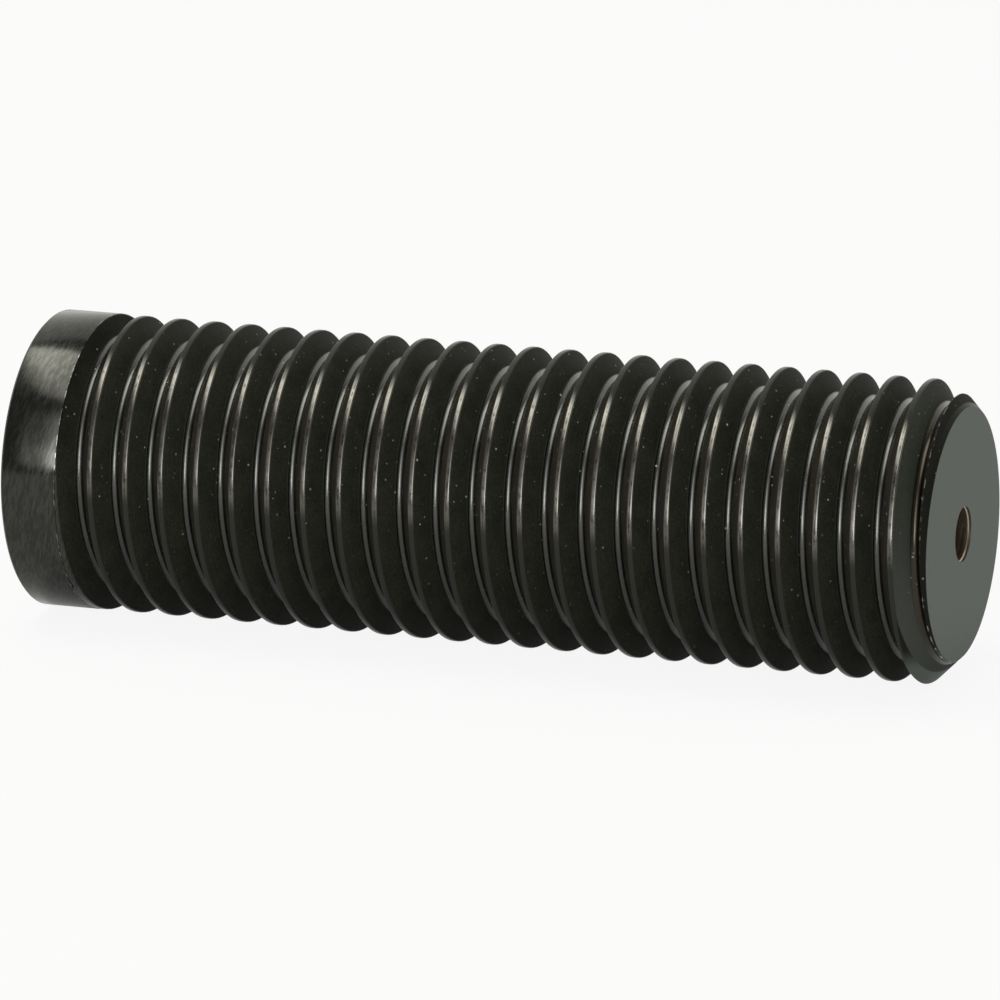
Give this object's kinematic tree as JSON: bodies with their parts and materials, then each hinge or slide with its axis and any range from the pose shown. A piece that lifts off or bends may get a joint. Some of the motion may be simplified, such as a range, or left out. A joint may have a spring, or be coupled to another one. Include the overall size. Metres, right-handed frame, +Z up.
{
  "type": "screw spindle assembly",
  "caption": "Black steel screw spindle with a coarse right-hand V thread that turns in a plain ball-bearing collar at one end, with a chamfered, tapped free end.",
  "frame": {"origin": "centre of the collar's outer face, on the spindle's axis", "axes": "+X along the spindle from the collar to the free end, +Z up, as the spindle lies in the picture"},
  "size_m": [0.076, 0.0238, 0.0238],
  "materials": {
    "black_oxide_steel": "black oxide over a cut thread, matt flanks with brighter crests",
    "turned_black_oxide": "fine turned, black oxide",
    "bearing_steel": "ground",
    "ball_steel": "polished",
    "cage_resin": "moulded",
    "seal_rubber": "moulded",
    "spring_steel": "phosphated"
  },
  "bodies": {
    "collar": {"bearing_collar": "turned_black_oxide", "end_seal": "seal_rubber"},
    "spindle": {"screw_spindle": "black_oxide_steel", "inner_race": "bearing_steel", "retaining_ring": "spring_steel"},
    "ball_set": {"ball_cage": "cage_resin", "bearing_ball_01": "ball_steel", "bearing_ball_02": "ball_steel", "bearing_ball_03": "ball_steel", "bearing_ball_04": "ball_steel", "bearing_ball_05": "ball_steel", "bearing_ball_06": "ball_steel", "bearing_ball_07": "ball_steel", "bearing_ball_08": "ball_steel", "bearing_ball_09": "ball_steel", "bearing_ball_10": "ball_steel", "bearing_ball_11": "ball_steel", "bearing_ball_12": "ball_steel", "bearing_ball_13": "ball_steel", "bearing_ball_14": "ball_steel"}
  },
  "joints": [
    {"name": "spindle_turn", "type": "hinge", "parent": "collar", "child": "spindle", "pos_m": [0, 0, 0], "axis": [1, 0, 0], "continuous": true},
    {"name": "ball_set_turn", "type": "hinge", "parent": "collar", "child": "ball_set", "pos_m": [0, 0, 0], "axis": [1, 0, 0], "continuous": true}
  ],
  "couplings": [
    {"joint": "ball_set_turn", "follows": "spindle_turn", "ratio": 0.4444}
  ]
}
